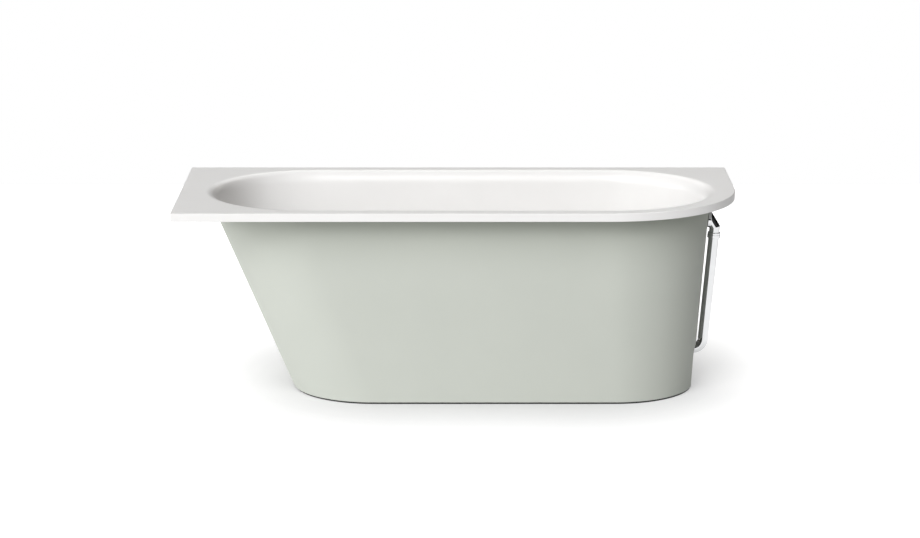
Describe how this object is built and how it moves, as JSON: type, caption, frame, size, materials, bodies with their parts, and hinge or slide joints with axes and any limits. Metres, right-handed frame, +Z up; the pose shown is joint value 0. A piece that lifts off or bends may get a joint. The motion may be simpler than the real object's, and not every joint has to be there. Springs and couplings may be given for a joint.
{
  "type": "built-in bathtub",
  "caption": "White corner bath with a square-cornered rim slab, one rounded free corner, a long oval basin, a tapered green skirt and an exposed chrome overflow pipe.",
  "frame": {"origin": "on the floor, under the middle of the rim slab", "axes": "+X along the bath towards the overflow end, +Y towards the back wall, +Z up; the free front faces -Y and the sloping end is at -X"},
  "size_m": [1.7, 0.75, 0.6],
  "materials": {
    "tub_white": "satin sanitary white",
    "skirt_green": "matt sage green",
    "chrome": "polished",
    "brass": "machined",
    "steel": "zinc plated",
    "pipe_plastic": "moulded",
    "rubber_dark": "matt",
    "foam_grey": "matt",
    "board": "raw chipboard"
  },
  "bodies": {
    "bath": {"tub_body": "tub_white", "outer_skirt": "skirt_green", "base_seal": "rubber_dark", "bond_pads": "foam_grey", "floor_board": "board", "cross_rail_left": "steel", "cross_rail_right": "steel", "rail_screws": "steel", "weld_nuts": "steel", "jam_nuts": "steel", "wall_bracket_back_left": "steel", "wall_bracket_back_right": "steel", "wall_bracket_left_end": "steel", "bracket_screws": "steel", "drain_flange": "chrome", "drain_gasket_upper": "rubber_dark", "drain_gasket_lower": "rubber_dark", "drain_body": "pipe_plastic", "plug_cartridge": "brass", "plug_spring": "steel", "overflow_rosette": "chrome", "rosette_screw": "chrome", "overflow_spigot": "brass", "overflow_gasket_inner": "rubber_dark", "overflow_gasket_outer": "rubber_dark", "overflow_elbow": "chrome", "elbow_seal": "rubber_dark", "elbow_collar": "chrome", "overflow_tube": "chrome", "inlet_seal": "rubber_dark", "inlet_nut": "chrome", "swivel_nut": "pipe_plastic", "trap_washer": "rubber_dark"},
    "plug": {"plug_cap": "chrome", "plug_seal": "rubber_dark", "plug_stem": "chrome"},
    "trap": {"trap_dip_tube": "pipe_plastic", "trap_body": "pipe_plastic", "outlet_seal": "rubber_dark", "outlet_nut": "pipe_plastic"},
    "foot_1": {"foot_stud_1": "steel", "foot_pad_1": "rubber_dark"},
    "foot_2": {"foot_stud_2": "steel", "foot_pad_2": "rubber_dark"},
    "foot_3": {"foot_stud_3": "steel", "foot_pad_3": "rubber_dark"},
    "foot_4": {"foot_stud_4": "steel", "foot_pad_4": "rubber_dark"}
  },
  "joints": [
    {"name": "plug_lift", "type": "slide", "parent": "bath", "child": "plug", "axis": [0, 0, 1], "range_m": [0, 0.008], "deforming": ["plug_spring"]},
    {"name": "trap_swivel", "type": "hinge", "parent": "bath", "child": "trap", "pos_m": [0.5, 0, 0.06], "axis": [0, 0, 1], "range_deg": [-90, 90]},
    {"name": "foot_1_level", "type": "slide", "parent": "bath", "child": "foot_1", "axis": [0, 0, -1], "range_m": [0, 0.02]},
    {"name": "foot_2_level", "type": "slide", "parent": "bath", "child": "foot_2", "axis": [0, 0, -1], "range_m": [0, 0.02]},
    {"name": "foot_3_level", "type": "slide", "parent": "bath", "child": "foot_3", "axis": [0, 0, -1], "range_m": [0, 0.02]},
    {"name": "foot_4_level", "type": "slide", "parent": "bath", "child": "foot_4", "axis": [0, 0, -1], "range_m": [0, 0.02]}
  ]
}
